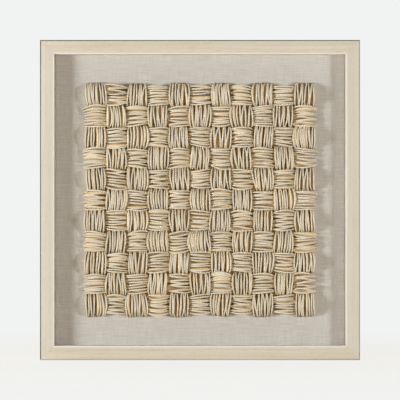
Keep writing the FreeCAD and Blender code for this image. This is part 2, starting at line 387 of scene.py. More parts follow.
def rail_mesh(name, quarter_turns, board_number, limed, arris_shading):
    """A rail between its two mitres, with grain coordinates of its own."""
    mesh = bpy.data.meshes.new(name)
    shape = bmesh.new()
    grain_layer = shape.verts.layers.float_vector.new("grain")
    board_layer = shape.verts.layers.float.new("board")
    limed_layer = shape.verts.layers.float.new("limed")
    arris_shading_layer = shape.verts.layers.float.new("arris_shading")
    turn = math.radians(90 * quarter_turns)
    rings = []
    inner_stations = [i / RAIL_STATIONS * 2 - 1 for i in range(1, RAIL_STATIONS)]
    for station in [-1, "start", *inner_stations, "end", 1]:
        ring = []
        for point in profile:
            down, deep = shrunk(point) if station in (-1, 1) else point
            reach = half_frame - point[0]
            along = {"start": -reach + MITRE_GROOVE_LENGTH, "end": reach - MITRE_GROOVE_LENGTH}.get(station)
            if along is None:
                along = station * reach
            up = half_frame - down
            x = along * math.cos(turn) + up * math.sin(turn)
            z = up * math.cos(turn) - along * math.sin(turn)
            vertex = shape.verts.new((x, rail_low.y + deep, middle.z + z))
            vertex[grain_layer] = (along, down, deep)
            vertex[board_layer] = board_number
            vertex[limed_layer] = limed
            vertex[arris_shading_layer] = arris_shading
            ring.append(vertex)
        rings.append(ring)
    for first, second in zip(rings, rings[1:]):
        for i in range(len(profile)):
            j = (i + 1) % len(profile)
            shape.faces.new((first[i], first[j], second[j], second[i]))
    shape.faces.new(rings[0])
    shape.faces.new(reversed(rings[-1]))
    bmesh.ops.recalc_face_normals(shape, faces=shape.faces)
    shape.to_mesh(mesh)
    shape.free()
    mesh.materials.append(ash)
    return mesh


# Each board: how much wax it has kept, and how strong the painted shade on its outer arris is.
BOARDS = {"top": (0.0, 0.95), "right": (0.30, 0.55), "bottom": (0.0, 0.40), "left": (0.35, 1.1)}
for number, (side, (limed, arris_shading)) in enumerate(BOARDS.items()):
    mesh = rail_mesh(f"ash_rail_{side}", number, BOARD_GAP_IN_NOISE * (number + 1), limed, arris_shading)
    rail = place(f"ash_rail_{side}", mesh, "whitewashed_ash", f"rail_{side}")
    mesh.shade_smooth()
    with bpy.context.temp_override(object=rail, active_object=rail, selected_editable_objects=[rail]):
        bpy.ops.object.shade_smooth_by_angle(angle=math.radians(SMOOTH_BELOW))
    print(side, len(mesh.polygons), "faces")

# %% [markdown]
# Linen. The backing and the inner walls of the box are covered with unbleached linen: a
# plain weave of uneven yarn. What the eye reads as linen is not the crossing of single
# threads, which is too fine here, but the slubs, the thick stretches of yarn that run
# level or upright for a few centimetres. The material draws the crossing threads coarser
# than they are, and adds the slubs as long streaks in both directions. Each cloth carries
# two more numbers for painted light: one makes the walls a paler copy of the same linen,
# the other tints the field under the paper warmer, for the light the folds throw back.

# %% Linen material
LINEN = "C5BEB4"
LINEN_EVENNESS = 0.50          # how much of the cloth has one colour, whatever its threads do
LINEN_SHADE = "A0998B"
LINEN_LIGHT = "D8D3CA"
LINEN_WALL_LIGHT = "FBF3E4"        # the walls: painted light, the same linen drawn paler, so it shows as a thin pale line
LINEN_BOUNCE_TINT = "EBD09C"        # under the paper: painted warm light thrown back by the folds
BOUNCE_TINT_MARGIN = 18 * MM         # how far inside the paper field the painted warm tint stops
THREAD = 1.5 * MM              # real yarn is about 0.7 mm, drawn coarser so that it shows
SLUB_LENGTH = 38 * MM

linen, tree = new_material("unbleached linen")
thread_at = add(tree, "ShaderNodeAttribute", attribute_name="thread").outputs["Vector"]
weft = add(tree, "ShaderNodeVectorMath", thread_at, (1 / SLUB_LENGTH, 1 / THREAD, 1.0), operation="MULTIPLY")
warp = add(tree, "ShaderNodeVectorMath", thread_at, (1 / THREAD, 1 / SLUB_LENGTH, 1.0), operation="MULTIPLY")
weft_yarn = add(tree, "ShaderNodeTexNoise", inputs={"Vector": weft, "Scale": 1.0, "Detail": 3.0,
                                                    "Roughness": 0.6})
warp_yarn = add(tree, "ShaderNodeTexNoise", inputs={"Vector": warp, "Scale": 1.0, "Detail": 3.0,
                                                    "Roughness": 0.6})
weft_slub = add(tree, "ShaderNodeMapRange", weft_yarn, 0.36, 0.66, 0.0, 1.0)
warp_slub = add(tree, "ShaderNodeMapRange", warp_yarn, 0.36, 0.68, 0.0, 1.0)
cross = add(tree, "ShaderNodeMix", inputs={0: 0.42, 2: weft_slub, 3: warp_slub})
cloth = add(tree, "ShaderNodeMix", cross, inputs={6: srgb(LINEN_SHADE), 7: srgb(LINEN_LIGHT)},
            data_type="RGBA")
# Painted light: the wall facings are drawn paler than the same linen elsewhere.
facing = add(tree, "ShaderNodeAttribute", attribute_name="facing").outputs["Fac"]
# Painted warm light under the paper, thrown back by the folds.
bounce_tint = add(tree, "ShaderNodeAttribute", attribute_name="bounce_tint").outputs["Fac"]
for amount, colour in ((LINEN_EVENNESS, LINEN), (facing, LINEN_WALL_LIGHT), (bounce_tint, LINEN_BOUNCE_TINT)):
    cloth = add(tree, "ShaderNodeMix", amount, inputs={6: cloth, 7: srgb(colour)}, data_type="RGBA")
bump = add(tree, "ShaderNodeBump", inputs={"Height": cross, "Strength": 0.55, "Distance": 0.5 * MM})
looks = {"Base Color": cloth, "Roughness": 0.92, "Sheen Weight": 0.15,
         "Specular IOR Level": 0.2, "Normal": bump}
add(tree, "ShaderNodeOutputMaterial", add(tree, "ShaderNodeBsdfPrincipled", inputs=looks))

# %% [markdown]
# Each cloth is a thin closed sheet with the faint unevenness of cloth pulled over board.
# The sheet on the backing is 558 mm square, and under the paper its linen is tinted warmer:
# painted warm light thrown back by the folds. The four facings of the walls are strips as
# deep as the box, in the same linen drawn paler as painted light. The thread coordinates
# run along the cloth, so the weave never stretches round a corner.

# %% Linen sheets
CLOTH_STEP = 9 * MM
CLOTH_RIPPLE = 0.10 * MM
CLOTH_WAVES = ((31 * MM, 27 * MM), (83 * MM, 61 * MM))   # along and across the threads

row_low, row_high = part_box("paper_row_01")
bounce_tint_half = (row_high.x - row_low.x) / 2 - BOUNCE_TINT_MARGIN
print(f"pasted field {2 * bounce_tint_half / MM:.0f} mm square")


def cloth_mesh(name, node, seed, facing):
    """A closed sheet in the place of a thin CAD box. Its threads run along its longer sides."""
    random.seed(seed)
    phases = [(random.uniform(0, math.tau), random.uniform(0, math.tau)) for _ in CLOTH_WAVES]
    lowest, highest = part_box(node)
    size = highest - lowest
    thin = min(range(3), key=lambda axis: size[axis])
    long, wide = sorted((axis for axis in range(3) if axis != thin), key=lambda axis: (-size[axis], axis))
    if size[long] - size[wide] < CLOTH_STEP:
        long, wide = 0, 2
    steps = [max(2, round(size[axis] / CLOTH_STEP)) for axis in (long, wide)]
    mesh = bpy.data.meshes.new(name)
    shape = bmesh.new()
    layer = shape.verts.layers.float_vector.new("thread")
    facing_layer = shape.verts.layers.float.new("facing")
    bounce_tint_layer = shape.verts.layers.float.new("bounce_tint")
    sheets = []
    for side in (0, 1):
        grid = []
        for i in range(steps[0] + 1):
            row = []
            for j in range(steps[1] + 1):
                place_at = Vector(lowest)
                along = size[long] * i / steps[0]
                across = size[wide] * j / steps[1]
                place_at[long] += along
                place_at[wide] += across
                ripple = 0.0
                for wave, phase in zip(CLOTH_WAVES, phases):
                    ripple += math.sin(along / wave[0] + phase[0]) * math.sin(across / wave[1] + phase[1])
                inset = CLOTH_RIPPLE * (1 + ripple / 2)
                place_at[thin] += inset if side == 0 else size[thin] - inset
                vertex = shape.verts.new(place_at)
                vertex[layer] = (along + seed, across, 0)
                # Painted light: the walls are marked to be drawn paler.
                vertex[facing_layer] = facing
                # Painted light: the field under the paper is marked to be tinted warmer.
                from_middle = max(abs(place_at.x - middle.x), abs(place_at.z - middle.z))
                vertex[bounce_tint_layer] = 1.0 if from_middle < bounce_tint_half else 0.0
                row.append(vertex)
            grid.append(row)
        sheets.append(grid)
    for grid in sheets:
        for i in range(steps[0]):
            for j in range(steps[1]):
                shape.faces.new((grid[i][j], grid[i + 1][j], grid[i + 1][j + 1], grid[i][j + 1]))
    near, far = sheets
    rim = [(i, 0) for i in range(steps[0])] + [(steps[0], j) for j in range(steps[1])]
    rim += [(i, steps[1]) for i in range(steps[0], 0, -1)] + [(0, j) for j in range(steps[1], 0, -1)]
    for (a, b), (c, d) in zip(rim, rim[1:] + rim[:1]):
        shape.faces.new((near[a][b], near[c][d], far[c][d], far[a][b]))
    bmesh.ops.recalc_face_normals(shape, faces=shape.faces)
    shape.to_mesh(mesh)
    shape.free()
    mesh.shade_smooth()
    mesh.materials.append(linen)
    return mesh, (size[long], size[wide])


CLOTHS = {
    "linen_backdrop": "mount_board",
    "linen_wall_top": "spacer_top",
    "linen_wall_bottom": "spacer_bottom",
    "linen_wall_left": "spacer_left",
    "linen_wall_right": "spacer_right",
}
for number, (node, carrier) in enumerate(CLOTHS.items()):
    mesh, flat = cloth_mesh(f"stretched_{node}", node, number, float("wall" in node))
    piece = place(f"stretched_{node}", mesh, "greige_linen", node)
    print(node, [round(side, 3) for side in flat], len(mesh.polygons), "faces")

# %% [markdown]
# Handmade paper. Each disc is thick, soft paper with a torn, rounded rim. The rim stands in
# full light and looks ivory. Further down, the two halves of a fold stand close together,
# and light that gets in there comes back warmer each time it meets the paper. For that
# warm bounced light the faces are painted a brighter, warmer colour than the rim, although
# they look darker in the picture: painted light on what is one paper. Towards the fold the
# colour turns warmer and a touch darker still, as painted warm shade.

# %% Paper material
PAPER_RIM = "DFD2BA"
PAPER_FACE = "FAEAC8"
PAPER_DEEP = "FAE3BA"          # down by the fold: painted warm shade
PAPER_FIBRE = "EBD6B0"
RIM_REACH = 1.2 * MM           # how far the colour of the rim reaches into the leaf
BOUNCE_TINT_FROM = 4.0 * MM          # how far from the rim the painted warm shade begins, and is full
BOUNCE_TINT_FULL = 14.0 * MM
FIBRE = 2.6 * MM               # fibres drawn coarser than real ones, so that they show
BLOTCH = 9 * MM

paper, tree = new_material("handmade cotton paper")
from_rim = add(tree, "ShaderNodeAttribute", attribute_name="from_rim").outputs["Fac"]
tint = add(tree, "ShaderNodeAttribute", attribute_name="tint").outputs["Fac"]
spot = add(tree, "ShaderNodeTexCoord").outputs["Object"]
fibres = add(tree, "ShaderNodeTexNoise", inputs={"Vector": spot, "Scale": 1 / FIBRE, "Detail": 4.0,
                                                 "Roughness": 0.65})
blotch = add(tree, "ShaderNodeTexNoise", inputs={"Vector": spot, "Scale": 1 / BLOTCH, "Detail": 2.0})
# Painted light: the faces brighter and warmer than the rim, warmer still towards the fold as shade.
at_rim = add(tree, "ShaderNodeMapRange", from_rim, 0.0, RIM_REACH, 1.0, 0.0,
             interpolation_type="SMOOTHSTEP")
bounce_tint = add(tree, "ShaderNodeMapRange", from_rim, BOUNCE_TINT_FROM, BOUNCE_TINT_FULL, 0.0, 1.0)
face = add(tree, "ShaderNodeMix", bounce_tint, inputs={6: srgb(PAPER_FACE), 7: srgb(PAPER_DEEP)},
           data_type="RGBA")
body = add(tree, "ShaderNodeMix", at_rim, inputs={6: face, 7: srgb(PAPER_RIM)}, data_type="RGBA")
streak = add(tree, "ShaderNodeMapRange", fibres, 0.50, 0.78, 0.0, 0.30)
body = add(tree, "ShaderNodeMix", streak, inputs={6: body, 7: srgb(PAPER_FIBRE)}, data_type="RGBA")
shift = add(tree, "ADD", tint, blotch)
shade = add(tree, "ShaderNodeMapRange", shift, 0.3, 1.7, 0.92, 1.03)
body = add(tree, "ShaderNodeVectorMath", body, shade, operation="MULTIPLY")
bump = add(tree, "ShaderNodeBump", inputs={"Height": fibres, "Strength": 0.25, "Distance": 0.3 * MM})
looks = {"Base Color": body, "Roughness": 0.9, "Specular IOR Level": 0.0, "Normal": bump}
add(tree, "ShaderNodeOutputMaterial", add(tree, "ShaderNodeBsdfPrincipled", inputs=looks))

# %% [markdown]
# The paper bundles follow a rule, so Geometry Nodes make them. A bundle holds four or five
# discs. Each disc is folded in half, its crease glued to the linen, and its two halves
# open to the front like a narrow book. The bundles stand closer than a disc is wide, so
# the ends of the folds in one bundle run in under the outer folds of the next.
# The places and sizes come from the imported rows.

# %% Sizes of the paper, read from the frame
ROWS = 11
row_boxes = [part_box(f"paper_row_{number:02d}") for number in range(1, ROWS + 1)]
row_centres = [(box[0].z + box[1].z) / 2 for box in row_boxes]
pitch = row_centres[0] - row_centres[1]
disc_radius = (row_boxes[0][1].z - row_boxes[0][0].z) / 2
linen_front = row_boxes[0][1].y
print(f"pitch {pitch / MM:.1f} mm, disc radius {disc_radius / MM:.1f} mm")

# %% [markdown]
# The tree makes one row, and its inputs are the sizes that shape the paper. The outermost
# crease is given from the middle of its bundle. Half thicknesses are given, because each
# face of the sheet lies that far from its middle.

# %% The tree and its inputs
row = bpy.data.node_groups.new("paper row", "GeometryNodeTree")
ROW_INPUTS = {
    "Row": ("NodeSocketInt", 0),
    "Bundles": ("NodeSocketInt", ROWS),
    "Full Bundle": ("NodeSocketInt", 5),
    "Loose Bundle": ("NodeSocketInt", 4),
    "Pitch": ("NodeSocketFloat", pitch),
    "Disc Radius": ("NodeSocketFloat", disc_radius),
    "Outermost Crease": ("NodeSocketFloat", 13.4 * MM),
    "Fold Share": ("NodeSocketFloat", 0.48),
    "Rim Half Thickness": ("NodeSocketFloat", 1.4 * MM),
    "Fold Half Thickness": ("NodeSocketFloat", 0.35 * MM),
    "Rim Rounding": ("NodeSocketFloat", 0.7 * MM),
    "Waviness": ("NodeSocketFloat", 3.4 * MM),
    "Deckle": ("NodeSocketFloat", 0.35 * MM),
    "Row Centre": ("NodeSocketVector", (0.0, 0.0, 0.0)),
    "Seed": ("NodeSocketInt", 7),
    "Paper": ("NodeSocketMaterial", None),
}
row.interface.new_socket(name="Geometry", in_out="OUTPUT", socket_type="NodeSocketGeometry")
for name, (kind, value) in ROW_INPUTS.items():
    socket = row.interface.new_socket(name=name, in_out="INPUT", socket_type=kind)
    if value is not None:
        socket.default_value = value
given = add(row, "NodeGroupInput").outputs

# %% [markdown]
# The row starts with one point for each disc. Each point is marked with the numbers that
# its disc needs: its bundle's column, how many discs that bundle has, whether its folds
# lie level, and its own place in the bundle. Points that a small bundle has no use for go.

# %% One point for each disc
FULL_EVERY = 3.0               # every third bundle along a row is a full one
ROW_STRIDE = 100.0             # more than the discs in a row, so that each has its own number

places = add(row, "MULTIPLY", given["Bundles"], given["Full Bundle"])
points = add(row, "GeometryNodePoints", places)
index = add(row, "GeometryNodeInputIndex")
column = add(row, "FLOOR", add(row, "DIVIDE", index, given["Full Bundle"]))
slot = add(row, "FLOORED_MODULO", index, given["Full Bundle"])
bundle = add(row, "ADD", given["Row"], column)
is_full = add(row, "COMPARE", add(row, "FLOORED_MODULO", bundle, FULL_EVERY), 0.0, 0.1)
extra = add(row, "SUBTRACT", given["Full Bundle"], given["Loose Bundle"])
discs = add(row, "MULTIPLY_ADD", is_full, extra, given["Loose Bundle"])
POINT_MARKS = {
    "column": column,
    "discs": discs,
    "level": add(row, "FLOORED_MODULO", bundle, 2.0),
    "order": add(row, "SUBTRACT", slot, add(row, "MULTIPLY_ADD", discs, 0.5, -0.5)),
    "disc": add(row, "MULTIPLY_ADD", given["Row"], ROW_STRIDE, index),
    "spare": add(row, "GREATER_THAN", slot, add(row, "SUBTRACT", discs, 0.5)),
}
for name, value in POINT_MARKS.items():
    points = add(row, "GeometryNodeStoreNamedAttribute", points, data_type="FLOAT", domain="POINT",
                 inputs={"Name": name, "Value": value})
marked = {}
for name in POINT_MARKS:
    mark = add(row, "GeometryNodeInputNamedAttribute", name, data_type="FLOAT")
    marked[name] = mark.outputs["Attribute"]
points = add(row, "GeometryNodeDeleteGeometry", points, marked["spare"], domain="POINT")

# %% [markdown]
# The blank is a box with many faces, two units wide each way. Its first direction runs
# along the crease, its second from rim to rim across the flat disc, its third through the
# paper. Every later step only says where a vertex with these three numbers goes.

# %% The blank of one disc
ALONG_VERTICES = 25
ACROSS_VERTICES = 13
THROUGH_VERTICES = 4

blank = add(row, "GeometryNodeMeshCube", (2.0, 2.0, 2.0), ALONG_VERTICES, ACROSS_VERTICES,
            THROUGH_VERTICES)
blank = add(row, "GeometryNodeStoreNamedAttribute", blank, data_type="FLOAT_VECTOR", domain="POINT",
            inputs={"Name": "blank", "Value": add(row, "GeometryNodeInputPosition")})
discs_laid = add(row, "GeometryNodeInstanceOnPoints", points, inputs={"Instance": blank})
paper_mesh = add(row, "GeometryNodeRealizeInstances", discs_laid)
on_blank = add(row, "GeometryNodeInputNamedAttribute", "blank", data_type="FLOAT_VECTOR")
on_blank = add(row, "ShaderNodeSeparateXYZ", on_blank.outputs["Attribute"]).outputs
along_blank, across_blank, through_blank = on_blank["X"], on_blank["Y"], on_blank["Z"]

# %% [markdown]
# No two folds are alike. Each disc leans a little, is turned a little, opens more or less,
# and its halves bow one way or the other. Every such whim is a random number that belongs
# to the disc, so it comes out the same in each run. Other whims are shared by all discs of
# a bundle, because neighbours push each other over, and one belongs to each half.

# %% Whims of each disc
WHIMS = {
    "lean": (-0.085, 0.085),
    "turn": (-0.040, 0.040),
    "twist": (-0.050, 0.050),
    "slide": (-1.2 * MM, 1.2 * MM),
    "gape": (-0.036, 0.040),
    "wedge": (-0.3, 0.3),
    "curl": (-0.060, 0.060),
    "size": (0.955, 1.0),
    "tint": (0.0, 1.0),
}
FIRST_SHARED_SEED = 20
SHARED_WHIMS = {
    "turn": (-0.045, 0.045),
    "half curl": (-0.040, 0.040),
    "lean": (-0.090, 0.090),
    "twist": (-0.070, 0.070),
    "fan": (-0.030, 0.030),
    "spread": (0.95, 1.10),
    "curl": (-0.180, 0.180),
    "wedge": (-0.6, 0.6),
}


def whim(number, lowest, highest, owner):
    """A random number between two limits that belongs to an owner's number."""
    seed = add(row, "ADD", given["Seed"], float(number))
    return add(row, "FunctionNodeRandomValue", data_type="FLOAT",
               inputs={2: lowest, 3: highest, "ID": owner, "Seed": seed}).outputs[1]


chance = {name: whim(number, *limits, marked["disc"]) for number, (name, limits) in enumerate(WHIMS.items())}
bundle_id = add(row, "MULTIPLY_ADD", given["Row"], ROW_STRIDE, marked["column"])
far_half = add(row, "GREATER_THAN", across_blank, 0.0)
half_id = add(row, "MULTIPLY_ADD", marked["disc"], 2.0, far_half)
shared = {}
for number, (name, limits) in enumerate(SHARED_WHIMS.items()):
    owner = half_id if name == "half curl" else bundle_id
    shared[name] = whim(FIRST_SHARED_SEED + number, *limits, owner)

# %% [markdown]
# Folding. Along the crease, the sine of a half turn says where a vertex goes, and the
# cosine says how far the round disc reaches from the crease there. A narrow strip on both
# sides of the crease is the fold itself, which is as wide as the fold radius allows.

# %% Fold the disc
CREASE_END = 0.97              # the blank stops just short of the tips of the crease
FOLD_SHARPNESS = 8.0
FOLD_END_CLOSING = 0.7         # how quickly a fold narrows towards its two ends

angle = add(row, "MULTIPLY", along_blank, CREASE_END * math.pi / 2)
sine = add(row, "SINE", angle)
cosine = add(row, "COSINE", angle)
radius = add(row, "MULTIPLY", given["Disc Radius"], chance["size"])
side_wall = add(row, "MULTIPLY_ADD", add(row, "MULTIPLY", through_blank, through_blank), -1.0, 1.0)
radius_round = add(row, "MULTIPLY_ADD", side_wall, given["Rim Rounding"], radius)
radius_round = add(row, "SUBTRACT", radius_round, given["Rim Rounding"])
along = add(row, "MULTIPLY", sine, radius_round)
reach = add(row, "MULTIPLY", cosine, radius_round)
from_crease = add(row, "ABSOLUTE", across_blank)
height = add(row, "MULTIPLY", reach, from_crease)
sharp = add(row, "MULTIPLY", across_blank, FOLD_SHARPNESS)
half_sign = add(row, "MAXIMUM", add(row, "MINIMUM", sharp, 1.0), -1.0)

# %% [markdown]
# From the fold, each half rises at its own slope. The slope adds up how far the fold
# opens, how the bundle fans out, how the disc leans and twists, and how the half bows. A
# wedge number lets a fold gape at one end and close at the other, which gives the paper
# its pointed gaps.

# %% Open and lean the halves
MOUTH_SHARE = 0.25             # each half of a fold may fill a quarter of its disc's place
LEAST_WEDGE = 0.1              # the closed end of a fold keeps this much of its width

bundle_width = add(row, "MULTIPLY", given["Pitch"], shared["spread"])
mouth_step = add(row, "DIVIDE", bundle_width, marked["discs"])
crease_step = add(row, "DIVIDE", add(row, "MULTIPLY", given["Outermost Crease"], 2.0),
                     add(row, "SUBTRACT", marked["discs"], 1.0))
fold_radius = add(row, "MULTIPLY", crease_step, given["Fold Share"])
mouth = add(row, "MULTIPLY_ADD", mouth_step, MOUTH_SHARE, add(row, "MULTIPLY", fold_radius, -1.0))
opening = add(row, "ADD", add(row, "DIVIDE", mouth, given["Disc Radius"]), chance["gape"])
wedge = add(row, "ADD", chance["wedge"], shared["wedge"])
wedge = add(row, "MULTIPLY_ADD", wedge, sine, 1.0)
wedge = add(row, "MAXIMUM", wedge, LEAST_WEDGE)
opening = add(row, "MULTIPLY", opening, wedge)
fold_radius = add(row, "MULTIPLY", fold_radius, wedge)
closed_ends = add(row, "POWER", cosine, FOLD_END_CLOSING)
fold_radius = add(row, "MULTIPLY", fold_radius, closed_ends)
crease_at = add(row, "MULTIPLY", marked["order"], crease_step)
fan = add(row, "SUBTRACT", mouth_step, crease_step)
fan = add(row, "MULTIPLY", fan, marked["order"])
fan = add(row, "DIVIDE", fan, given["Disc Radius"])
lean = add(row, "ADD", fan, add(row, "ADD", chance["lean"], shared["lean"]))
twist = add(row, "ADD", chance["twist"], shared["twist"])
twist = add(row, "MULTIPLY", twist, sine)
slope = add(row, "MULTIPLY_ADD", opening, half_sign, add(row, "ADD", lean, twist))
curl = add(row, "ADD", add(row, "ADD", shared["curl"], chance["curl"]), shared["half curl"])
slope = add(row, "MULTIPLY_ADD", curl, -0.5, slope)
height_share = add(row, "DIVIDE", height, radius)
curled = add(row, "MULTIPLY", curl, height_share)
mean_slope = add(row, "ADD", slope, curled)
end_slope = add(row, "ADD", mean_slope, curled)
rim_shift = add(row, "MULTIPLY_ADD", shared["curl"], 0.5, shared["lean"])
rim_shift = add(row, "MULTIPLY", rim_shift, radius)

# %% [markdown]
# Waves and torn rims come from two noises. The slow one bends the sheet sideways, most at
# the rim. The quick one takes a little off the rim here and there.

# %% Waves and torn rims
WAVE_SIZE = 32 * MM
DECKLE_SIZE = 7 * MM
DISC_GAP_IN_NOISE = 0.37       # how far apart two discs lie in the noises, so that they differ
NOISE_MIDDLE = 0.5
DECKLE_MIDDLE = 0.75           # above the noise's middle, so that more is torn off than added

along_rim = add(row, "ShaderNodeCombineXYZ", along, add(row, "MULTIPLY", height, half_sign),
                add(row, "MULTIPLY", marked["disc"], DISC_GAP_IN_NOISE))
slow = add(row, "ShaderNodeTexNoise",
           inputs={"Vector": along_rim, "Scale": 1 / WAVE_SIZE, "Detail": 0.0})
quick = add(row, "ShaderNodeTexNoise",
            inputs={"Vector": along_rim, "Scale": 1 / DECKLE_SIZE, "Detail": 1.0})
wave = add(row, "MULTIPLY", add(row, "SUBTRACT", slow, NOISE_MIDDLE), given["Waviness"])
wave = add(row, "MULTIPLY", wave, from_crease)
torn = add(row, "MULTIPLY", add(row, "SUBTRACT", quick, DECKLE_MIDDLE), given["Deckle"])
torn = add(row, "MULTIPLY", torn, add(row, "POWER", from_crease, 3.0))
height = add(row, "MAXIMUM", add(row, "ADD", height, torn), 0.0)

# %% [markdown]
# The paper is pressed thin at the fold and swells to its full thickness at the rim. Each
# face moves away from the middle of the sheet, square to the slope that the sheet has
# there. No vertex goes behind the linen.

# %% Thicken the sheet
TIP_THINNING = 0.7             # how quickly a leaf thins towards the tips of its crease
SHIFTED_BACK = 0.4             # a leaning bundle stands this much of its lean to the other side

swell = add(row, "MULTIPLY", from_crease, add(row, "POWER", cosine, TIP_THINNING))
thicker = add(row, "SUBTRACT", given["Rim Half Thickness"], given["Fold Half Thickness"])
thickness = add(row, "MULTIPLY_ADD", thicker, swell, given["Fold Half Thickness"])
thickness = add(row, "MULTIPLY", thickness, through_blank)
across = add(row, "MULTIPLY_ADD", half_sign, fold_radius, crease_at)
across = add(row, "ADD", across, add(row, "MULTIPLY", height, mean_slope))
across = add(row, "ADD", across, wave)
across = add(row, "MULTIPLY_ADD", rim_shift, -SHIFTED_BACK, across)
across = add(row, "MULTIPLY_ADD", thickness, half_sign, across)
at_fold = add(row, "SUBTRACT", 1.0, add(row, "ABSOLUTE", half_sign))
down = add(row, "MULTIPLY_ADD", end_slope, half_sign, at_fold)
shortened = add(row, "MULTIPLY_ADD", add(row, "MULTIPLY", mean_slope, mean_slope), -0.5, 1.0)
height = add(row, "MULTIPLY", height, shortened)
out = add(row, "MULTIPLY_ADD", add(row, "MULTIPLY", thickness, down), -1.0, height)
out = add(row, "ADD", out, given["Fold Half Thickness"])
out = add(row, "MAXIMUM", out, 0.0)

# %% [markdown]
# Each disc is turned a little in the plane of the linen, and its bundle with it. In every
# second bundle the folds lie level, which is a quarter turn. Then the bundle goes to its
# place in the row.

# %% Turn each disc and set it on the linen
fan_turn = add(row, "MULTIPLY_ADD", shared["fan"], marked["order"], shared["turn"])
turned = add(row, "ADD", chance["turn"], fan_turn)
along = add(row, "ADD", along, chance["slide"])
across_turned = add(row, "MULTIPLY_ADD", along, turned, across)
along_turned = add(row, "MULTIPLY_ADD", add(row, "MULTIPLY", across, shared["turn"]), -1.0, along)
forward = add(row, "MULTIPLY", out, -1.0)
upright_at = add(row, "ShaderNodeCombineXYZ", across_turned, forward, along_turned)
downwards = add(row, "MULTIPLY", across_turned, -1.0)
level_at = add(row, "ShaderNodeCombineXYZ", along_turned, forward, downwards)
lies = add(row, "ShaderNodeMix", marked["level"], data_type="VECTOR",
           inputs={4: upright_at, 5: level_at}).outputs[1]
middle_column = add(row, "MULTIPLY_ADD", given["Bundles"], 0.5, -0.5)
column_x = add(row, "SUBTRACT", marked["column"], middle_column)
column_x = add(row, "MULTIPLY", column_x, given["Pitch"])
column_at = add(row, "ShaderNodeCombineXYZ", column_x)
bundle_at = add(row, "ShaderNodeVectorMath", given["Row Centre"], column_at, operation="ADD")
lies = add(row, "ShaderNodeVectorMath", lies, bundle_at, operation="ADD")

# %% [markdown]
# At the end, each vertex keeps two numbers for the paper's material: how far it is from the
# rim, and the tint of its disc.

# %% Finish the tree
rim_gap = add(row, "MULTIPLY", reach, add(row, "SUBTRACT", 1.0, from_crease))
for name, value in {"from_rim": rim_gap, "tint": chance["tint"]}.items():
    paper_mesh = add(row, "GeometryNodeStoreNamedAttribute", paper_mesh, data_type="FLOAT", domain="POINT",
                     inputs={"Name": name, "Value": value})
paper_mesh = add(row, "GeometryNodeSetPosition", paper_mesh, inputs={"Position": lies})
for name in (*POINT_MARKS, "blank"):
    paper_mesh = add(row, "GeometryNodeRemoveAttribute", paper_mesh, inputs={"Name": name})
paper_mesh = add(row, "GeometryNodeSetShadeSmooth", paper_mesh)
paper_mesh = add(row, "GeometryNodeRealizeInstances", paper_mesh)
paper_mesh = add(row, "GeometryNodeSetMaterial", paper_mesh, inputs={"Material": given["Paper"]})
add(row, "NodeGroupOutput", paper_mesh)
print("nodes in the tree:", len(row.nodes))

# %% [markdown]
# The tree runs once for each row, with the row's number and its middle. The number starts
# the chequer pattern and the random whims of the row, so no two rows are the same.

# %% Make the eleven rows
def settled(tree, sizes):
    """Run a tree on an empty carrier and keep the result as a plain mesh."""
    carrier = bpy.data.objects.new("carrier", bpy.data.meshes.new("carrier"))
    bpy.context.collection.objects.link(carrier)
    modifier = carrier.modifiers.new(tree.name, "NODES")
    modifier.node_group = tree
    for item in tree.interface.items_tree:
        if item.in_out == "INPUT" and item.name in sizes:
            modifier[item.identifier] = sizes[item.name]
    graph = bpy.context.evaluated_depsgraph_get()
    mesh = bpy.data.meshes.new_from_object(carrier.evaluated_get(graph))
    carrier.modifiers.remove(modifier)
    bpy.data.objects.remove(carrier)
    return mesh


triangles = 0
for number, centre in enumerate(row_centres):
    mesh = settled(row, {"Row": number, "Row Centre": (middle.x, linen_front, centre), "Paper": paper})
    piece = place(f"folded_paper_row_{number + 1:02d}", mesh, "ivory_paper", f"paper_row_{number + 1:02d}")
    mesh.calc_loop_triangles()
    triangles += len(mesh.loop_triangles)
print("paper triangles:", triangles)

# %% [markdown]
# The glass. It is thin, clean picture glass with a coating that takes most of the mirror
# image away. Lamps shine through it, and what is behind it is seen unbent. A faint mirror
# image of the pale room stays, strongest at a grazing view.

# %% Glass material
MIRROR_SHARE = 0.15            # how much of plain glass's mirror image the coating leaves

glass, tree = new_material("coated picture glass")
clear = add(tree, "ShaderNodeBsdfTransparent", srgb("FFFFFF"))
mirror = add(tree, "ShaderNodeBsdfGlossy", inputs={"Color": srgb("FFFFFF"), "Roughness": 0.03})
edge = add(tree, "ShaderNodeFresnel", 1.45)
smears = add(tree, "ShaderNodeTexNoise", inputs={"Vector": add(tree, "ShaderNodeTexCoord").outputs["Object"],
                                                 "Scale": 6.0, "Detail": 3.0})
left = add(tree, "ShaderNodeMapRange", smears, 0.3, 0.7, 0.8 * MIRROR_SHARE, MIRROR_SHARE)
amount = add(tree, "MULTIPLY", edge, left)
add(tree, "ShaderNodeOutputMaterial", add(tree, "ShaderNodeMixShader", amount, clear, mirror))


def finish_node(node, material):
    """Give a CAD node that keeps its shape its real surface."""
    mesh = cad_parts[node].data
    mesh.materials.clear()
    mesh.materials.append(material)


finish_node("glass_pane", glass)

# %% [markdown]
# Hardboard closes the back: wood fibre pressed hot into a thin, hard sheet. It is brown,
# a little shiny where the press plate was smooth, and flecked with darker fibres.

# %% Hardboard material
HARDBOARD = "7A5638"
HARDBOARD_DARK = "4E3521"
HARDBOARD_LIGHT = "98734F"
FLECK = 2.2 * MM
CLOUD = 60 * MM

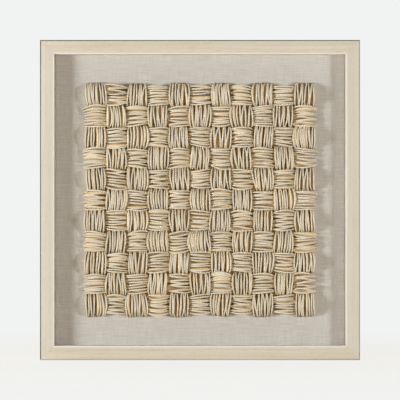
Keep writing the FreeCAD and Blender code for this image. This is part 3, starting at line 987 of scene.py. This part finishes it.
hardboard, tree = new_material("pressed hardboard")
spot = add(tree, "ShaderNodeTexCoord").outputs["Object"]
flecks = add(tree, "ShaderNodeTexNoise", inputs={"Vector": spot, "Scale": 1 / FLECK, "Detail": 5.0,
                                                 "Roughness": 0.7})
clouds = add(tree, "ShaderNodeTexNoise", inputs={"Vector": spot, "Scale": 1 / CLOUD, "Detail": 3.0})
fleck_tone = add(tree, "ShaderNodeMapRange", flecks, 0.35, 0.68, 0.0, 1.0)
board = add(tree, "ShaderNodeMix", fleck_tone, data_type="RGBA",
            inputs={6: srgb(HARDBOARD_DARK), 7: srgb(HARDBOARD_LIGHT)})
cloud_tone = add(tree, "ShaderNodeMapRange", clouds, 0.3, 0.7, 0.45, 0.8)
board = add(tree, "ShaderNodeMix", cloud_tone, inputs={6: board, 7: srgb(HARDBOARD)}, data_type="RGBA")
sheen_tone = add(tree, "ShaderNodeMapRange", flecks, 0.3, 0.7, 0.42, 0.6)
bump = add(tree, "ShaderNodeBump", inputs={"Height": flecks, "Strength": 0.3, "Distance": 0.2 * MM})
looks = {"Base Color": board, "Roughness": sheen_tone, "Normal": bump}
add(tree, "ShaderNodeOutputMaterial", add(tree, "ShaderNodeBsdfPrincipled", inputs=looks))
finish_node("back_panel", hardboard)

# %% [markdown]
# Inside the box, where nobody looks, grey board carries the side facings and a white-cored
# mount board carries the linen. They show only if the frame is taken apart, but they get
# the faint speckle of real board all the same.

# %% Board materials
SPECK = 1.5 * MM


def board_material(name, base, speck):
    """Pressed paper board with fine specks."""
    material, tree = new_material(name)
    spot = add(tree, "ShaderNodeTexCoord").outputs["Object"]
    specks = add(tree, "ShaderNodeTexNoise", inputs={"Vector": spot, "Scale": 1 / SPECK, "Detail": 4.0})
    amount = add(tree, "ShaderNodeMapRange", specks, 0.45, 0.75, 0.0, 0.7)
    colour = add(tree, "ShaderNodeMix", amount, inputs={6: srgb(base), 7: srgb(speck)}, data_type="RGBA")
    bump = add(tree, "ShaderNodeBump", inputs={"Height": specks, "Strength": 0.2, "Distance": 0.1 * MM})
    looks = {"Base Color": colour, "Roughness": 0.85, "Normal": bump}
    add(tree, "ShaderNodeOutputMaterial", add(tree, "ShaderNodeBsdfPrincipled", inputs=looks))
    return material


finish_node("mount_board", board_material("ivory mount board", "E9E2D3", "D2C7B2"))
grey_board = board_material("grey pulp board", "B9B4AA", "8F897D")
for side in ("top", "bottom", "left", "right"):
    finish_node(f"spacer_{side}", grey_board)

# %% [markdown]
# Steel. The glazier points and V-nails are bare strip, dull and finely drawn along its
# length. The sawtooth hangers are zinc plated, which gives a paler, cloudier shine.

# %% Steel materials
def steel_material(name, base, dull, roughness, patch):
    """Sheet steel whose shine varies in patches."""
    material, tree = new_material(name)
    spot = add(tree, "ShaderNodeTexCoord").outputs["Object"]
    patches = add(tree, "ShaderNodeTexNoise", inputs={"Vector": spot, "Scale": 1 / patch, "Detail": 4.0})
    colour = add(tree, "ShaderNodeMix", patches, inputs={6: srgb(dull), 7: srgb(base)}, data_type="RGBA")
    shine = add(tree, "ShaderNodeMapRange", patches, 0.3, 0.7, roughness, roughness + 0.14)
    bump = add(tree, "ShaderNodeBump", inputs={"Height": patches, "Strength": 0.15, "Distance": 0.05 * MM})
    looks = {"Base Color": colour, "Roughness": shine, "Metallic": 1.0, "Normal": bump}
    add(tree, "ShaderNodeOutputMaterial", add(tree, "ShaderNodeBsdfPrincipled", inputs=looks))
    return material


bare_steel = steel_material("bare strip steel", "B7B6B2", "8E8C88", 0.34, 2 * MM)
zinc = steel_material("zinc plated steel", "D5D8DA", "AEB4B9", 0.28, 5 * MM)
for node in ("glazier_points", "v_nails"):
    finish_node(node, bare_steel)
for side in ("left", "right"):
    finish_node(f"sawtooth_hanger_{side}", zinc)

# %% [markdown]
# Felt bumpers keep the frame off the wall. They are cut from pressed wool felt, so their
# edges are soft. Each starts as a box of the CAD pad's size, is rounded, divided, and
# roughened a little by a noise that pushes every vertex inwards.

# %% Felt bumpers
FELT = "5A4636"
FELT_LIGHT = "806853"
WOOL = 0.9 * MM
PAD_ROUNDING = 0.7 * MM
PAD_FUZZ = 0.12 * MM
PAD_CUTS = 7                   # in each edge that is longer than PAD_LONG
PAD_LONG = 4 * MM
FIRST_PAD_SEED = 70

felt, tree = new_material("brown wool felt")
spot = add(tree, "ShaderNodeTexCoord").outputs["Object"]
wool = add(tree, "ShaderNodeTexNoise", inputs={"Vector": spot, "Scale": 1 / WOOL, "Detail": 6.0})
tone = add(tree, "ShaderNodeMapRange", wool, 0.35, 0.7, 0.0, 1.0)
colour = add(tree, "ShaderNodeMix", tone, inputs={6: srgb(FELT), 7: srgb(FELT_LIGHT)}, data_type="RGBA")
bump = add(tree, "ShaderNodeBump", inputs={"Height": wool, "Strength": 0.7, "Distance": 0.3 * MM})
looks = {"Base Color": colour, "Roughness": 1.0, "Sheen Weight": 0.4, "Normal": bump}
add(tree, "ShaderNodeOutputMaterial", add(tree, "ShaderNodeBsdfPrincipled", inputs=looks))


def bumper_mesh(name, node, seed):
    """A soft pad that fills the place of a CAD bumper."""
    random.seed(seed)
    lowest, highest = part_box(node)
    centre = (lowest + highest) / 2
    mesh = bpy.data.meshes.new(name)
    shape = bmesh.new()
    bmesh.ops.create_cube(shape, size=1.0)
    for vertex in shape.verts:
        vertex.co = centre + Vector(c * s for c, s in zip(vertex.co, highest - lowest))
    bmesh.ops.bevel(shape, geom=shape.edges[:], offset=PAD_ROUNDING, segments=3, profile=0.5, affect="EDGES")
    long_edges = [edge for edge in shape.edges if edge.calc_length() > PAD_LONG]
    bmesh.ops.subdivide_edges(shape, edges=long_edges, cuts=PAD_CUTS, use_grid_fill=True)
    for vertex in shape.verts:
        vertex.co += (centre - vertex.co).normalized() * random.uniform(0, PAD_FUZZ)
    bmesh.ops.recalc_face_normals(shape, faces=shape.faces)
    shape.to_mesh(mesh)
    shape.free()
    mesh.shade_smooth()
    mesh.materials.append(felt)
    return mesh


for number, corner in enumerate(("upper_left", "upper_right", "lower_left", "lower_right")):
    mesh = bumper_mesh(f"felt_pad_{corner}", f"felt_bumper_{corner}", FIRST_PAD_SEED + number)
    place(f"felt_pad_{corner}", mesh, "brown_felt", f"felt_bumper_{corner}")
